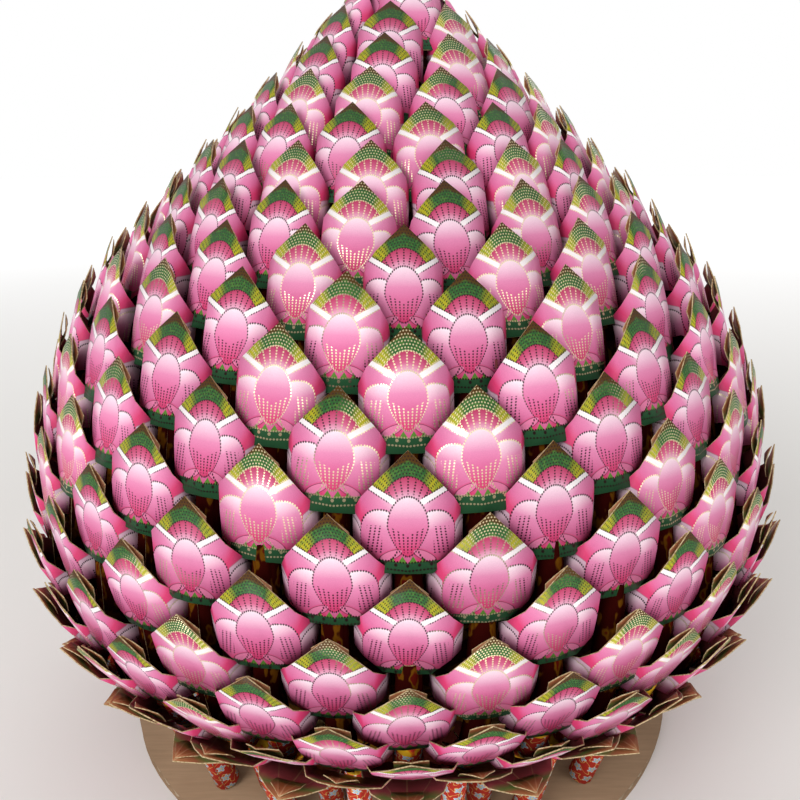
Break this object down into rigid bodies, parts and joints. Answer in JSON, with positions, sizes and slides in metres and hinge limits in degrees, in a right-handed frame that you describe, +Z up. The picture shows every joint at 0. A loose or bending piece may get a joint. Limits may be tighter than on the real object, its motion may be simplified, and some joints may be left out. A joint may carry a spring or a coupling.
{
  "type": "folded paper petal tower",
  "caption": "Tall dome of folded paper petals, ring above ring and closed to a bud, each petal on a rolled paper sleeve, standing on a round card disc",
  "frame": {"origin": "middle of the underside of the card disc", "axes": "+Z up along the tower's axis, -Y towards the viewer of the picture, +X to the right"},
  "size_m": [0.4378, 0.4358, 0.4338],
  "materials": {
    "disc_card": "corrugated card, tan liner on top and fluted edge",
    "former_card": "plain brown card",
    "petal_paper": "doubled printed paper with a lotus print, satin sheen, foil dots",
    "sleeve_paper": "rolled printed paper, yellow above and a red band below"
  },
  "bodies": {
    "root": {"base_disc": "disc_card", "inner_former": "former_card", "petals_01": "petal_paper", "petals_02": "petal_paper", "petals_03": "petal_paper", "petals_04": "petal_paper", "petals_05": "petal_paper", "petals_06": "petal_paper", "petals_07": "petal_paper", "petals_08": "petal_paper", "petals_09": "petal_paper", "petals_10": "petal_paper", "petals_11": "petal_paper", "petals_12": "petal_paper", "petals_13": "petal_paper", "petals_14": "petal_paper", "petals_15": "petal_paper", "petals_16": "petal_paper", "petals_17": "petal_paper", "petals_18": "petal_paper", "petals_19": "petal_paper", "petals_20": "petal_paper", "petals_21": "petal_paper", "sleeves_01": "sleeve_paper", "sleeves_02": "sleeve_paper", "sleeves_03": "sleeve_paper", "sleeves_04": "sleeve_paper", "sleeves_05": "sleeve_paper", "sleeves_06": "sleeve_paper", "sleeves_07": "sleeve_paper", "sleeves_08": "sleeve_paper", "sleeves_09": "sleeve_paper", "sleeves_10": "sleeve_paper", "sleeves_11": "sleeve_paper", "sleeves_12": "sleeve_paper", "sleeves_13": "sleeve_paper", "sleeves_14": "sleeve_paper", "sleeves_15": "sleeve_paper", "sleeves_16": "sleeve_paper", "sleeves_17": "sleeve_paper", "sleeves_18": "sleeve_paper", "sleeves_19": "sleeve_paper", "sleeves_20": "sleeve_paper", "sleeves_21": "sleeve_paper"}
  },
  "joints": []
}
